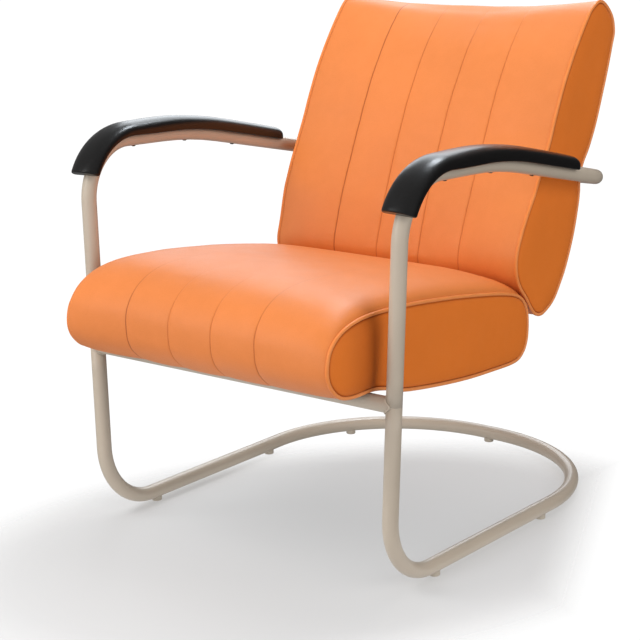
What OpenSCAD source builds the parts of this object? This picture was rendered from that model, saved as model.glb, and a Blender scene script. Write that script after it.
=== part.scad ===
// Cantilever lounge chair: one bent steel tube loop, black arm pads, channelled seat and back cushions.
// The chair faces -Y, +Z is up and +X is the sitter's left. All sizes are in millimetres.
// The origin is on the floor, under the middle of the chair's outline.

/* [Frame tube] */
// Outside diameter of the frame tube
tube_d = 25; // [22:0.5:28]
// Wall thickness of the frame tube
tube_wall = 2; // [1.5:0.25:3]
// Half width of the base at the uprights, between tube centres
base_half_front = 291; // [285:1:300]
// Half width of the base where the horseshoe bend starts from, between tube centres
base_half_back = 302; // [295:1:310]
// Depth of the base from the uprights to the back of the horseshoe, between tube centres
base_depth = 766; // [740:1:790]
// Bend radius of the horseshoe at the back of the base
base_bend_r = 282; // [255:1:284]
// Bend radius at the foot of each upright
foot_bend_r = 112; // [95:1:125]
// Outward lean of the uprights, in degrees
splay = 1.9; // [1:0.1:2.5]
// Length of the uprights, from the base line to the corner of the arm
upright_h = 627; // [610:1:645]
// Bend radius between upright and arm
arm_bend_r = 94; // [84:1:104]
// Bend radius of the long arch of the arm
arch_r = 815; // [650:5:950]
// Height of the hoop behind the back, above the base line
hoop_h = 545; // [540:1:550]
// Bend radius where the arm turns in behind the back
hoop_bend_r = 88; // [70:1:95]
// Height of the cross rail under the seat, above the floor
rail_z = 307.5; // [306:0.5:308]

/* [Feet] */
// Diameter of each glide
glide_d = 18; // [14:1:22]
// Gap between the floor and the tube
glide_h = 5.5; // [4:0.5:7]

/* [Arm pads] */
// Width of the arm pads
pad_w = 50; // [44:1:56]
// Height of the crest of the arm pads above the tube's top
pad_rise = 18.5; // [15:0.5:22]
// Where the pad starts round the front bend, in degrees from the upright
pad_start = 25; // [15:1:35]

/* [Cushions] */
// Width of the seat between its two piped edges
seat_w = 518; // [500:2:530]
// Width of the back between its two piped edges
back_w = 508; // [490:2:512]
// Thickness of the upholstery leather
hide_t = 2; // [1.5:0.5:2]
// Thickness of the seat and back boards
board_t = 12; // [10:1:15]

/* [Hidden] */

ro = tube_d / 2;
ri = ro - tube_wall;
z0 = glide_h + ro;
pipe = 2.5;
gap = 0.02;
n_sub = 5;

// ---- vectors, bends and frames ----
function unit(v) = v / norm(v);
function turn(a, b) = acos(max(-1, min(1, a * b)));
function euler(u, t, w) = abs(u[2]) > 0.9999999
    ? [(u[2] < 0 ? atan2(t[0], t[1]) : atan2(-t[0], t[1])), u[2] < 0 ? 90 : -90, 0]
    : [atan2(t[2], w[2]), asin(-u[2]), atan2(u[1], u[0])];

// A tube (or a rod, with bore = 0) along a route of straight runs with round bends at the corners.
// Each straight stops a hair short of its bends, so that every run stays a clean solid of its own.
module route(k, r, rad, bore) {
    n = len(k);
    d = [for (i = [0:n - 2]) unit(k[i + 1] - k[i])];
    tl = [for (i = [0:n - 1]) (i == 0 || i == n - 1) ? 0 : r[i - 1] * tan(turn(d[i - 1], d[i]) / 2)];
    for (i = [0:n - 2]) {
        a = k[i] + d[i] * (tl[i] + (i > 0 ? gap : 0));
        b = k[i + 1] - d[i] * (tl[i + 1] + (i < n - 2 ? gap : 0));
        translate(a) rotate([0, acos(d[i][2]), atan2(d[i][1], d[i][0])]) linear_extrude(height = norm(b - a)) ring(rad, bore);
    }
    for (i = [1:n - 2]) {
        t = d[i - 1];
        m = unit(d[i] - t * (d[i] * t));
        c = k[i] - t * tl[i] + m * r[i - 1];
        translate(c) rotate(euler(-m, t, cross(-m, t)))
            rotate_extrude(angle = turn(t, d[i]), $fn = r[i - 1] > 200 ? 120 : 72)
                translate([r[i - 1], 0]) ring(rad, bore);
    }
}
module ring(rad, bore) {
    difference() {
        circle(r = rad, $fn = 48);
        if (bore > 0) circle(r = bore, $fn = 48);
    }
}

// Points in the plane of one side loop: y runs to the back, h runs up the leaning plane.
k3 = [-5, upright_h];
k4 = [253, upright_h - 5];
k5 = [648, hoop_h];
function side_pt(s, p) = [s * (base_half_front + p[1] * sin(splay)), p[0], z0 + p[1] * cos(splay)];
rail_f = (rail_z - z0) / (upright_h * cos(splay));
function split_pt(s) = side_pt(s, k3 * rail_f);
rail_y = k3[0] * rail_f;
rail_x = base_half_front + upright_h * rail_f * sin(splay);

base_k = [split_pt(-1), side_pt(-1, [0, 0]), [-base_half_back, base_depth, z0], [base_half_back, base_depth, z0], side_pt(1, [0, 0]), split_pt(1)];
base_r = [foot_bend_r, base_bend_r, base_bend_r, foot_bend_r];
arm_k = [split_pt(1), side_pt(1, k3), side_pt(1, k4), side_pt(1, k5), side_pt(-1, k5), side_pt(-1, k4), side_pt(-1, k3), split_pt(-1)];
arm_r = [arm_bend_r, arch_r, hoop_bend_r, hoop_bend_r, arch_r, arm_bend_r];
hoop_c = [side_pt(1, k5)[1], side_pt(1, k5)[2]];

// ---- closed curves through hand-set points ----
function spline_pt(a, b, c, d, t) = 0.5 * ((2 * b) + (c - a) * t + (2 * a - 5 * b + 4 * c - d) * t * t + (3 * b - a - 3 * c + d) * t * t * t);
function closed_curve(p) = [for (i = [0:len(p) - 1]) for (j = [0:n_sub - 1])
    spline_pt(p[(i + len(p) - 1) % len(p)], p[i], p[(i + 1) % len(p)], p[(i + 2) % len(p)], j / n_sub)];
// Each point moved outward by e. The curves run clockwise, so outside is on the left.
function grown(p, e) = [for (i = [0:len(p) - 1]) let (a = p[(i + len(p) - 1) % len(p)], c = p[(i + 1) % len(p)], t = unit(c - a)) p[i] + e * [-t[1], t[0]]];
// A band of thickness e inside the curve, from point a to point b.
function band(p, a, b, e) = let (q = grown(p, -e)) concat([for (i = [a:b]) p[i % len(p)]], [for (i = [b:-1:a]) q[i % len(p)]]);

// Seat seen from its side, [y, z], from the front of its underside over the nose and the top to the back.
seat_pts = [[-45, 323.5], [-78, 329], [-100, 345], [-111, 364], [-112, 386], [-104, 408], [-82, 426], [-48, 437], [0, 441], [90, 438],
    [190, 429], [280, 418], [365, 405], [415, 393], [440, 377], [452, 352], [452, 312], [438, 288], [410, 278],
    [340, 279], [260, 283], [170, 292], [85, 304], [40, 316.5], [0, 323.5]];
seat_top_n = 18 * n_sub;
seat_curve = closed_curve(seat_pts);
// Back seen from its side, from the bottom up the front, over the top and down the rear.
back_pts = [[505, 341], [480, 346], [463, 361], [447, 381], [429, 401], [418, 424], [417, 450], [426, 478], [448, 518], [474, 556],
    [514, 628], [536, 678], [561, 729], [595, 782], [631, 826], [652, 846], [676, 860], [704, 855], [728, 837], [738, 808],
    [730, 779], [715, 735], [698, 692], [679, 647], [657, 608], [638, 583], [630, 563], [630, 540], [626, 514], [612, 466], [590, 417], [570, 386], [542, 356]];
back_top_n = 20 * n_sub;
back_curve = closed_curve(back_pts);

y_lo = min([for (p = grown(seat_curve, pipe)) p[0]]);
y_hi = base_depth + ro;
y_mid = (y_lo + y_hi) / 2;
module chair() { translate([0, -y_mid, 0]) children(); }

// A side outline [y, z] pushed out along X, from x = a to x = b.
module across(a, b) { translate([a, 0, 0]) rotate([90, 0, 90]) linear_extrude(height = b - a) children(); }

// ---- hardware positions ----
link_x = 110;
saddle_x = 170;
tab_x = 150;
seat_tilt = atan2(37, 370);
module seat_frame(x, s) { translate([x, 40, 321.5]) rotate([-seat_tilt, 0, 0]) translate([0, s, 0]) children(); }
back_lean = atan2(128, 343);
board_gap = 29;
// Frame at the hoop: local +Z points forward into the cushion, local +Y points up along the back board.
module hoop_frame(x, s) { translate([x, hoop_c[0], hoop_c[1]]) rotate([90 - back_lean, 0, 0]) translate([0, s, 0]) children(); }

module rod(d, a, b) { translate([0, 0, a]) cylinder(d = d, h = b - a, $fn = 32); }

tab_at = [for (s = [-1, 1]) for (e = [-1, 1]) [s * tab_x + e * 16, 22]];
link_seat_at = [for (s = [-1, 1]) for (e = [300, 350]) [s * link_x, e]];
saddle_at = [for (s = [-1, 1]) for (e = [-24, 24]) [s * saddle_x, e]];
link_back_at = [for (s = [-1, 1]) for (e = [-112, -88]) [s * link_x, e]];

module tab_holes(d, a, b) { for (p = tab_at) seat_frame(p[0], p[1]) rod(d, a, b); }
module link_seat_holes(d, a, b) { for (p = link_seat_at) seat_frame(p[0], p[1]) rod(d, a, b); }
module saddle_holes(d, a, b) { for (p = saddle_at) hoop_frame(p[0], p[1]) rod(d, a, b); }
module link_back_holes(d, a, b) { for (p = link_back_at) hoop_frame(p[0], p[1]) rod(d, a, b); }

// ---- frame ----
glide_arc = 35;
function runner_x(y) = base_half_front + (base_half_back - base_half_front) * y / base_depth;
bend_c = [base_half_back - (base_half_back - base_half_front) * base_bend_r / base_depth - base_bend_r, base_depth - base_bend_r];
glide_at = [for (s = [-1, 1]) for (p = [[runner_x(125), 125], [runner_x(448), 448], [bend_c[0] + base_bend_r * cos(glide_arc), bend_c[1] + base_bend_r * sin(glide_arc)]]) [s * p[0], p[1]]];
glide_all = concat(glide_at, [[0, base_depth]]);

module base_tube() {
    color([0.79, 0.75, 0.69]) chair() difference() {
        route(base_k, base_r, ro, ri);
        for (p = glide_all) translate([p[0], p[1], 2]) cylinder(d = 6.2, h = 10, $fn = 24);
    }
}

module arm_tube() {
    color([0.79, 0.75, 0.69]) chair() difference() {
        route(arm_k, arm_r, ro, ri);
        on_arms() rod(5.5, -ro - 2, ro + 2);
    }
}

module tube_splices() {
    color([0.6, 0.6, 0.6]) chair() for (s = [-1, 1]) {
        d = unit(side_pt(s, k3) - side_pt(s, [0, 0]));
        translate(split_pt(s) - d * 25) rotate([0, acos(d[2]), atan2(d[1], d[0])]) difference() {
            cylinder(r = ri - 0.1, h = 50, $fn = 48);
            translate([0, 0, -1]) cylinder(r = ri - 2.1, h = 52, $fn = 48);
        }
    }
}

module upright_rods(r) {
    for (s = [-1, 1]) {
        d = unit(side_pt(s, k3) - side_pt(s, [0, 0]));
        translate(split_pt(s) - d * 60) rotate([0, acos(d[2]), atan2(d[1], d[0])]) cylinder(r = r, h = 120, $fn = 48);
    }
}

module cross_rail() {
    color([0.79, 0.75, 0.69]) chair() difference() {
        translate([-rail_x, rail_y, rail_z]) rotate([0, 90, 0]) cylinder(r = ro, h = 2 * rail_x, $fn = 48);
        translate([-rail_x - 1, rail_y, rail_z]) rotate([0, 90, 0]) cylinder(r = ri, h = 2 * rail_x + 2, $fn = 48);
        upright_rods(ro + 0.05);
    }
}

module rail_rod() { translate([-rail_x, rail_y, rail_z]) rotate([0, 90, 0]) cylinder(r = ro, h = 2 * rail_x, $fn = 48); }

module seat_tabs() {
    color([0.79, 0.75, 0.69]) chair() difference() {
        for (s = [-1, 1]) seat_frame(s * tab_x, 0) translate([-32, -36, -15.5]) cube([64, 76, 4]);
        rail_rod();
        tab_holes(6.6, -20, 0);
    }
}

module tab_pads() {
    color([0.15, 0.15, 0.15]) chair() difference() {
        for (s = [-1, 1]) seat_frame(s * tab_x, 0) translate([-30, 0, -11.5]) cube([60, 40, 12]);
        across(-300, 300) polygon(grown(seat_curve, 0.1));
        tab_holes(6.6, -20, 2);
    }
}

module tab_bolts() {
    color([0.35, 0.35, 0.37]) chair() for (p = tab_at) seat_frame(p[0], p[1]) {
        rod(12, -19, -15.5);
        rod(6, -15.6, 13);
    }
}

module tee_nut() {
    difference() {
        union() {
            rod(8, 2, board_t);
            rod(18, board_t, board_t + 1.5);
        }
        rod(6.2, 0, board_t + 3);
    }
}

module tab_nuts() { color([0.7, 0.68, 0.6]) chair() for (p = tab_at) seat_frame(p[0], p[1]) tee_nut(); }

module glides() {
    color([0.76, 0.72, 0.66]) chair() difference() {
        for (p = glide_all) translate([p[0], p[1], 0]) {
            cylinder(d1 = glide_d - 2, d2 = glide_d, h = 1, $fn = 48);
            translate([0, 0, 1]) cylinder(d = glide_d, h = glide_h + 2, $fn = 48);
        }
        difference() {
            route([for (i = [1:4]) base_k[i]], [base_bend_r, base_bend_r], ro + 0.02, 0);
            for (p = glide_all) translate([p[0], p[1], 0]) cylinder(d = 6, h = 11, $fn = 24);
        }
    }
}

// ---- arm pads ----
d34 = unit(k4 - k3);
d45 = unit(k5 - k4);
d23 = unit(k3);
function perp(v) = [-v[1], v[0]];
tl3 = arm_bend_r * tan(turn(d23, d34) / 2);
tl4 = arch_r * tan(turn(d34, d45) / 2);
c3 = k3 - d23 * tl3 - perp(d23) * arm_bend_r;
c4 = k4 - d34 * tl4 - perp(d34) * arch_r;
// Angles of the bend radii in the side plane, from +y
a_up = (atan2(perp(d23)[1], perp(d23)[0]) + 360) % 360;
a_34 = atan2(perp(d34)[1], perp(d34)[0]);
a_45 = atan2(perp(d45)[1], perp(d45)[0]);
pad_end_y = 499;
pad_tail = (pad_end_y - k4[0]) / d45[0];

module side_plane(s) {
    if (s > 0) translate([base_half_front, 0, z0]) rotate([0, splay, 0]) children();
    else mirror([1, 0, 0]) translate([base_half_front, 0, z0]) rotate([0, splay, 0]) children();
}
// Local +Z out of the tube, local +Y along the arm
module arm_point(p, a) { translate([0, p[0], p[1]]) rotate([a - 90, 0, 0]) children(); }
screw_1 = k3 + d34 * 113;
a_s2 = acos((238 - c4[0]) / arch_r);
screw_2 = c4 + arch_r * [cos(a_s2), sin(a_s2)];
screw_3 = k4 + d45 * 116;
module on_arm_side(s) {
    side_plane(s) {
        arm_point(screw_1, a_34) children();
        arm_point(screw_2, a_s2) children();
        arm_point(screw_3, a_45) children();
    }
}
module on_arms() { on_arm_side(1) children(); on_arm_side(-1) children(); }

// Section of the arm pad: [across, out of the tube]
function pad_section() = concat([[-pad_w / 2 + 2, 10], [-pad_w / 2, 12.5]],
    [for (t = [170:-10:10]) [pad_w / 2 * cos(t), 14 + (ro + pad_rise - 14) * pow(sin(t), 0.75)]],
    [[pad_w / 2, 12.5], [pad_w / 2 - 2, 10]]);

module pad_profile(r) {
    translate([r, 0]) rotate([0, 0, -90]) difference() {
        polygon(pad_section());
        circle(r = ro + 0.05, $fn = 48);
    }
}
module pad_bend(c, r, a, b) {
    rotate([90, 0, 90]) translate([c[0], c[1], 0]) rotate([0, 0, a]) rotate_extrude(angle = b - a, $fn = r > 200 ? 240 : 96) pad_profile(r);
}
module pad_run(p, d, len) {
    translate([0, p[0], p[1]]) rotate([atan2(d[1], d[0]), 0, 0]) rotate([90, 0, 0]) mirror([0, 0, 1]) linear_extrude(height = len)
        difference() {
            polygon(pad_section());
            circle(r = ro + 0.05, $fn = 48);
        }
}
module pad_blank() {
    pad_bend(c3, arm_bend_r, a_34, a_up - pad_start);
    pad_run(k3 + d34 * (tl3 + gap), d34, norm(k4 - k3) - tl3 - tl4 - 2 * gap);
    pad_bend(c4, arch_r, a_45, a_34);
    pad_run(k4 + d45 * (tl4 + gap), d45, pad_tail - tl4 - 26 - gap);
    // Rounded tail
    intersection() {
        pad_run(k4 + d45 * (pad_tail - 26 + gap), d45, 30);
        translate([0, k4[0] + d45[0] * (pad_tail - 26), 0]) linear_extrude(height = 900) {
            translate([-pad_w / 2 - 1, -12]) square([pad_w + 2, 20]);
            translate([-pad_w / 2 + 16, -12]) square([pad_w - 32, 36]);
            for (e = [-1, 1]) translate([e * (pad_w / 2 - 16), 8]) circle(r = 16, $fn = 48);
        }
    }
}
module arm_pad(s) {
    color([0.06, 0.06, 0.06]) chair() difference() {
        side_plane(s) pad_blank();
        on_arm_side(s) rod(7, ro - 4, ro + 11);
    }
}
module arm_pad_left() { arm_pad(1); }
module arm_pad_right() { arm_pad(-1); }
module arm_screws() {
    color([0.12, 0.12, 0.12]) chair() on_arms() {
        rod(9, -ro - 2.5, -ro - 0.2);
        rod(5, -ro - 0.3, ro + 9);
    }
}
module arm_inserts() { color([0.72, 0.6, 0.32]) chair() on_arms() difference() { rod(7, ro + 0.6, ro + 11); rod(5.2, ro, ro + 9.5); } }

// ---- seat ----
module seat_board_blank() {
    seat_frame(0, 0) translate([-seat_w / 2 + 24, -60, 0]) cube([seat_w - 48, 440, board_t]);
}
module seat_board() {
    color([0.78, 0.63, 0.43]) chair() difference() {
        seat_board_blank();
        for (x = [-120, 0, 120]) for (s = [90, 220]) seat_frame(x, s) rod(40, -1, board_t + 1);
        tab_holes(8.2, -1, board_t + 1);
        link_seat_holes(8.2, -1, board_t + 1);
    }
}
module seat_hardware_room() {
    seat_board_blank();
    tab_holes(7, -20, 14);
    tab_holes(19, board_t - 1, board_t + 2);
    link_seat_holes(7, -20, 14);
    link_seat_holes(19, board_t - 1, board_t + 2);
}
module seat_foam() {
    color([0.93, 0.9, 0.72]) chair() difference() {
        across(-seat_w / 2 + pipe, seat_w / 2 - pipe) polygon(grown(seat_curve, -hide_t));
        seat_hardware_room();
    }
}
module seat_cover() {
    color([0.93, 0.52, 0.27]) chair() across(-seat_w / 2 + pipe, seat_w / 2 - pipe) polygon(band(seat_curve, 0, seat_top_n, hide_t));
}
module seat_bottom_cloth() {
    color([0.1, 0.1, 0.1]) chair() difference() {
        across(-seat_w / 2 + pipe, seat_w / 2 - pipe) polygon(band(seat_curve, seat_top_n, len(seat_curve), hide_t));
        tab_holes(7, -20, 2);
        link_seat_holes(7, -30, 2);
    }
}
module side_panel(curve, w, s) {
    x = s > 0 ? w / 2 - pipe : -w / 2 + 0.5;
    color([0.82, 0.42, 0.18]) chair() across(x, x + pipe - 0.5) polygon(grown(curve, -pipe));
}
module piping(curve, w, s) {
    color([0.95, 0.55, 0.3]) chair() across(s * w / 2 - pipe, s * w / 2 + pipe) difference() {
        polygon(grown(curve, pipe));
        polygon(grown(curve, -pipe));
    }
}
module seat_side_left() { side_panel(seat_curve, seat_w, 1); }
module seat_side_right() { side_panel(seat_curve, seat_w, -1); }
module seat_piping_left() { piping(seat_curve, seat_w, 1); }
module seat_piping_right() { piping(seat_curve, seat_w, -1); }

// ---- back ----
module back_board_blank() {
    hoop_frame(0, 0) translate([-back_w / 2 + 28, -130, board_gap]) cube([back_w - 56, 345, board_t]);
}
module back_board() {
    color([0.78, 0.63, 0.43]) chair() difference() {
        back_board_blank();
        for (x = [-110, 0, 110]) for (s = [60, 140]) hoop_frame(x, s) rod(40, board_gap - 1, board_gap + board_t + 1);
        saddle_holes(8.2, board_gap - 1, board_gap + board_t + 1);
        link_back_holes(8.2, board_gap - 1, board_gap + board_t + 1);
    }
}
module back_hardware_room() {
    back_board_blank();
    saddle_holes(7, -10, board_gap + board_t + 2);
    saddle_holes(19, board_gap + board_t - 1, board_gap + board_t + 2);
    link_back_holes(7, -30, board_gap + board_t + 2);
    link_back_holes(19, board_gap + board_t - 1, board_gap + board_t + 2);
}
module back_foam() {
    color([0.93, 0.9, 0.72]) chair() difference() {
        across(-back_w / 2 + pipe, back_w / 2 - pipe) polygon(grown(back_curve, -hide_t));
        back_hardware_room();
    }
}
module back_cover() {
    color([0.93, 0.52, 0.27]) chair() across(-back_w / 2 + pipe, back_w / 2 - pipe) polygon(band(back_curve, 0, back_top_n, hide_t));
}
module back_rear_panel() {
    color([0.85, 0.45, 0.2]) chair() difference() {
        across(-back_w / 2 + pipe, back_w / 2 - pipe) polygon(band(back_curve, back_top_n, len(back_curve), hide_t));
        saddle_holes(7, -10, board_gap);
        link_back_holes(7, -30, board_gap);
    }
}
module back_side_left() { side_panel(back_curve, back_w, 1); }
module back_side_right() { side_panel(back_curve, back_w, -1); }
module back_piping_left() { piping(back_curve, back_w, 1); }
module back_piping_right() { piping(back_curve, back_w, -1); }

// ---- fixings of the back to the hoop ----
module hoop_rod(r) { translate([-saddle_x - 60, hoop_c[0], hoop_c[1]]) rotate([0, 90, 0]) cylinder(r = r, h = 2 * saddle_x + 120, $fn = 48); }
module hoop_saddles() {
    color([0.12, 0.12, 0.12]) chair() difference() {
        for (s = [-1, 1]) hoop_frame(s * saddle_x, 0) translate([-20, -34, 0]) cube([40, 68, 24]);
        hoop_rod(ro);
        across(-300, 300) polygon(grown(back_curve, 0.1));
        saddle_holes(6.6, -1, 30);
    }
}
module hoop_straps() {
    color([0.79, 0.75, 0.69]) chair() difference() {
        union() for (s = [-1, 1]) hoop_frame(s * saddle_x, 0) {
            translate([-15, -34, -3]) cube([30, 68, 3]);
            translate([-15, 0, 0]) rotate([0, 90, 0]) intersection() {
                cylinder(r = ro + 3, h = 30, $fn = 48);
                translate([0, -20, -1]) cube([20, 40, 32]);
            }
        }
        hoop_rod(ro);
        saddle_holes(6.6, -5, 1);
    }
}
module hoop_bolts() { color([0.35, 0.35, 0.37]) chair() for (p = saddle_at) hoop_frame(p[0], p[1]) { rod(12, -6.5, -3); rod(6, -3.1, board_gap + board_t + 1); } }
module back_nut() { translate([0, 0, board_gap]) tee_nut(); }
module hoop_nuts() { color([0.7, 0.68, 0.6]) chair() for (p = saddle_at) hoop_frame(p[0], p[1]) back_nut(); }

// ---- flat steel links that join the seat board to the back board ----
link_p = [[335, 277.4], [470, 263.9], [548, 352], [595.9, 417], [625.7, 497]];
link_q = [[334.6, 273.4], [471.6, 259.7], [551.1, 349.5], [599.5, 415.1], [629.4, 495.6]];
module link_straps() {
    color([0.79, 0.75, 0.69]) chair() difference() {
        for (s = [-1, 1]) across(s * link_x - 16, s * link_x + 16) polygon(concat(link_p, [for (i = [4:-1:0]) link_q[i]]));
        link_seat_holes(6.6, -40, 0);
        link_back_holes(6.6, -30, 0);
    }
}
module link_bolts() {
    color([0.35, 0.35, 0.37]) chair() {
        for (p = link_seat_at) seat_frame(p[0], p[1]) { rod(12, -22, -18.5); rod(6, -18.6, 13); }
        for (p = link_back_at) hoop_frame(p[0], p[1]) { rod(12, -9.6, -6.1); rod(6, -6.2, board_gap + board_t + 1); }
    }
}
module link_nuts() {
    color([0.7, 0.68, 0.6]) chair() {
        for (p = link_seat_at) seat_frame(p[0], p[1]) tee_nut();
        for (p = link_back_at) hoop_frame(p[0], p[1]) back_nut();
    }
}

base_tube();
arm_tube();
tube_splices();
cross_rail();
seat_tabs();
tab_pads();
tab_bolts();
tab_nuts();
glides();
arm_pad_left();
arm_pad_right();
arm_screws();
arm_inserts();
seat_board();
seat_foam();
seat_cover();
seat_side_left();
seat_side_right();
seat_piping_left();
seat_piping_right();
seat_bottom_cloth();
back_board();
back_foam();
back_cover();
back_side_left();
back_side_right();
back_piping_left();
back_piping_right();
back_rear_panel();
hoop_saddles();
hoop_straps();
hoop_bolts();
hoop_nuts();
link_straps();
link_bolts();
link_nuts();
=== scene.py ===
"""Looks of the cantilever lounge chair, built around its CAD frame. Sizes are written in millimetres, with Y counted
from the foot of the uprights, and turned into metres in the frame's own coordinates when a mesh is made."""
import bpy
import math
import numpy as np
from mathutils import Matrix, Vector


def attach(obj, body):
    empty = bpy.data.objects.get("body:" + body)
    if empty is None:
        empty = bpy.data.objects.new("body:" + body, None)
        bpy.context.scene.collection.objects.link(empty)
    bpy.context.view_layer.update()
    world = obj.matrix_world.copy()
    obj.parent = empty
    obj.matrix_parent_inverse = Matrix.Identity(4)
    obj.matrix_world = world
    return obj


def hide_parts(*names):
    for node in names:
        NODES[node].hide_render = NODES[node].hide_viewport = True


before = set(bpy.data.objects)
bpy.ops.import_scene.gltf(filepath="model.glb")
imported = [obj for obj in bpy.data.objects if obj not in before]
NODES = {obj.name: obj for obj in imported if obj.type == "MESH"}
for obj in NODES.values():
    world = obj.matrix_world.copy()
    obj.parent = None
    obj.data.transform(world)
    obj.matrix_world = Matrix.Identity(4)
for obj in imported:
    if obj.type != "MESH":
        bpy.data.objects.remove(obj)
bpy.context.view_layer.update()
Y_MID = 331.636
rng = np.random.default_rng(7)


def frame_m(p):
    """Millimetres, with Y from the foot of the uprights, to metres in the frame."""
    p = np.asarray(p, float)
    return (p - np.array([0.0, Y_MID, 0.0])) / 1000.0


# ------------------------------------------------------------------ meshes
def make(name, verts, faces, mat, smooth=True, attrs=None, replaces=()):
    me = bpy.data.meshes.new(name)
    me.from_pydata([tuple(v) for v in frame_m(verts)], [], [tuple(int(i) for i in f) for f in faces])
    me.validate()
    me.update()
    for key, values in (attrs or {}).items():
        a = me.attributes.new(key, "FLOAT", "POINT")
        a.data.foreach_set("value", np.asarray(values, np.float32))
    o = bpy.data.objects.new(name, me)
    bpy.context.scene.collection.objects.link(o)
    for poly in me.polygons:
        poly.use_smooth = smooth and len(poly.vertices) < 5
    me.materials.append(mat)
    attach(o, "root")
    if replaces:
        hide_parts(*replaces)
    return o


def grid_faces(nr, nc, wrap_r=False, wrap_c=False, flip=False):
    out = []
    for i in range(nr if wrap_r else nr - 1):
        i2 = (i + 1) % nr
        for j in range(nc if wrap_c else nc - 1):
            j2 = (j + 1) % nc
            f = (i * nc + j, i * nc + j2, i2 * nc + j2, i2 * nc + j)
            out.append(f[::-1] if flip else f)
    return out


def noise2(x, y, seed=0):
    """Smooth value noise from -1 to 1, the same on every run."""
    x, y = np.asarray(x, float), np.asarray(y, float)
    xi, yi = np.floor(x).astype(np.int64), np.floor(y).astype(np.int64)
    xf, yf = x - xi, y - yi

    def h(a, b):
        n = (a * 374761393 + b * 668265263 + seed * 69069 + 12345) & 0xFFFFFFFF
        n = ((n ^ (n >> 13)) * 1274126177) & 0xFFFFFFFF
        return ((n ^ (n >> 16)) & 0xFFFF) / 32767.5 - 1.0

    u, v = xf * xf * xf * (xf * (xf * 6 - 15) + 10), yf * yf * yf * (yf * (yf * 6 - 15) + 10)
    return (h(xi, yi) * (1 - u) + h(xi + 1, yi) * u) * (1 - v) + (h(xi, yi + 1) * (1 - u) + h(xi + 1, yi + 1) * u) * v


def fbm(x, y, seed=0, octaves=3):
    return sum(noise2(x * 2**k, y * 2**k, seed + k) / 2**k for k in range(octaves))


# ------------------------------------------------------------------ curves
class Outline:
    """A closed smooth outline [y, z] through given points, measured by its own length."""

    def __init__(self, pts, n=24):
        p = np.array(pts, float)
        m = len(p)
        out = []
        for i in range(m):
            a, b, c, d = p[i - 1], p[i], p[(i + 1) % m], p[(i + 2) % m]
            for j in range(n):
                t = j / n
                out.append(0.5 * (2 * b + (c - a) * t + (2 * a - 5 * b + 4 * c - d) * t * t + (3 * b - a - 3 * c + d) * t**3))
        self.p = np.array(out)
        seg = np.linalg.norm(np.roll(self.p, -1, axis=0) - self.p, axis=1)
        self.s = np.concatenate([[0], np.cumsum(seg)])
        self.length = self.s[-1]
        self.n = n
        self.closed = np.vstack([self.p, self.p[:1]])

    def at(self, s):
        s = np.mod(s, self.length)
        return np.stack([np.interp(s, self.s, self.closed[:, 0]), np.interp(s, self.s, self.closed[:, 1])], -1)

    def normal(self, s, reach=5.0):
        t = self.at(np.asarray(s) + reach) - self.at(np.asarray(s) - reach)
        t = t / np.linalg.norm(t, axis=-1, keepdims=True)
        return np.stack([-t[..., 1], t[..., 0]], -1)

    def mark(self, i):
        """Length along the outline at listed point i."""
        return self.s[int(round(i * self.n))] if i * self.n < len(self.p) else self.length

    def smooth_values(self, table, s, blur=22.0):
        """table is [(point index, value)], read smoothly along the outline."""
        keys = [self.mark(i) for i, _ in table]
        vals = [v for _, v in table]
        dense = np.arange(0, self.length, 2.0)
        k = np.array([keys[-1] - self.length] + keys + [keys[0] + self.length])
        v = np.array([vals[-1]] + vals + [vals[0]])
        y = np.interp(dense, k, v)
        half = int(3 * blur / 2)
        ker = np.exp(-0.5 * (np.arange(-half, half + 1) * 2.0 / blur) ** 2)
        ker /= ker.sum()
        y = np.convolve(np.concatenate([y[-half:], y, y[:half]]), ker, "valid")
        return np.interp(np.mod(s, self.length), dense, y, period=self.length)


class Shifted:
    """An outline moved in or out along its normal by a smooth table of values."""

    def __init__(self, base, table):
        self.base, self.table, self.length = base, table, base.length

    def at(self, s):
        h = self.base.smooth_values(self.table, s, 14.0)
        return self.base.at(s) + self.base.normal(s) * np.asarray(h)[..., None]

    def normal(self, s):
        t = self.at(np.asarray(s) + 5.0) - self.at(np.asarray(s) - 5.0)
        t = t / np.linalg.norm(t, axis=-1, keepdims=True)
        return np.stack([-t[..., 1], t[..., 0]], -1)

    def mark(self, i):
        return self.base.mark(i)

    def smooth_values(self, table, s, blur=22.0):
        return self.base.smooth_values(table, s, blur)


def unit(v):
    v = np.asarray(v, float)
    return v / np.linalg.norm(v)


def fillet_path(k, r, step=4.0, bend_step=2.5):
    """Points along straight runs with round bends of radius r at the inner corners of k."""
    k = [np.array(p, float) for p in k]
    out = [k[0]]
    for i in range(1, len(k) - 1):
        d0, d1 = unit(k[i] - k[i - 1]), unit(k[i + 1] - k[i])
        ang = math.acos(max(-1, min(1, float(d0 @ d1))))
        tl = r[i - 1] * math.tan(ang / 2)
        a = k[i] - d0 * tl
        m = unit(d1 - d0 * (d1 @ d0))
        c = a + m * r[i - 1]
        n = max(4, int(math.degrees(ang) / bend_step))
        n0 = max(1, int(np.linalg.norm(a - out[-1]) / 40))
        start = out[-1]
        for j in range(1, n0):
            out.append(start + (a - start) * j / n0)
        for j in range(n + 1):
            t = ang * j / n
            out.append(c - m * r[i - 1] * math.cos(t) + d0 * r[i - 1] * math.sin(t))
    n0 = max(1, int(np.linalg.norm(k[-1] - out[-1]) / 40))
    start = out[-1]
    for j in range(1, n0 + 1):
        out.append(start + (k[-1] - start) * j / n0)
    return np.array(out)


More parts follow.
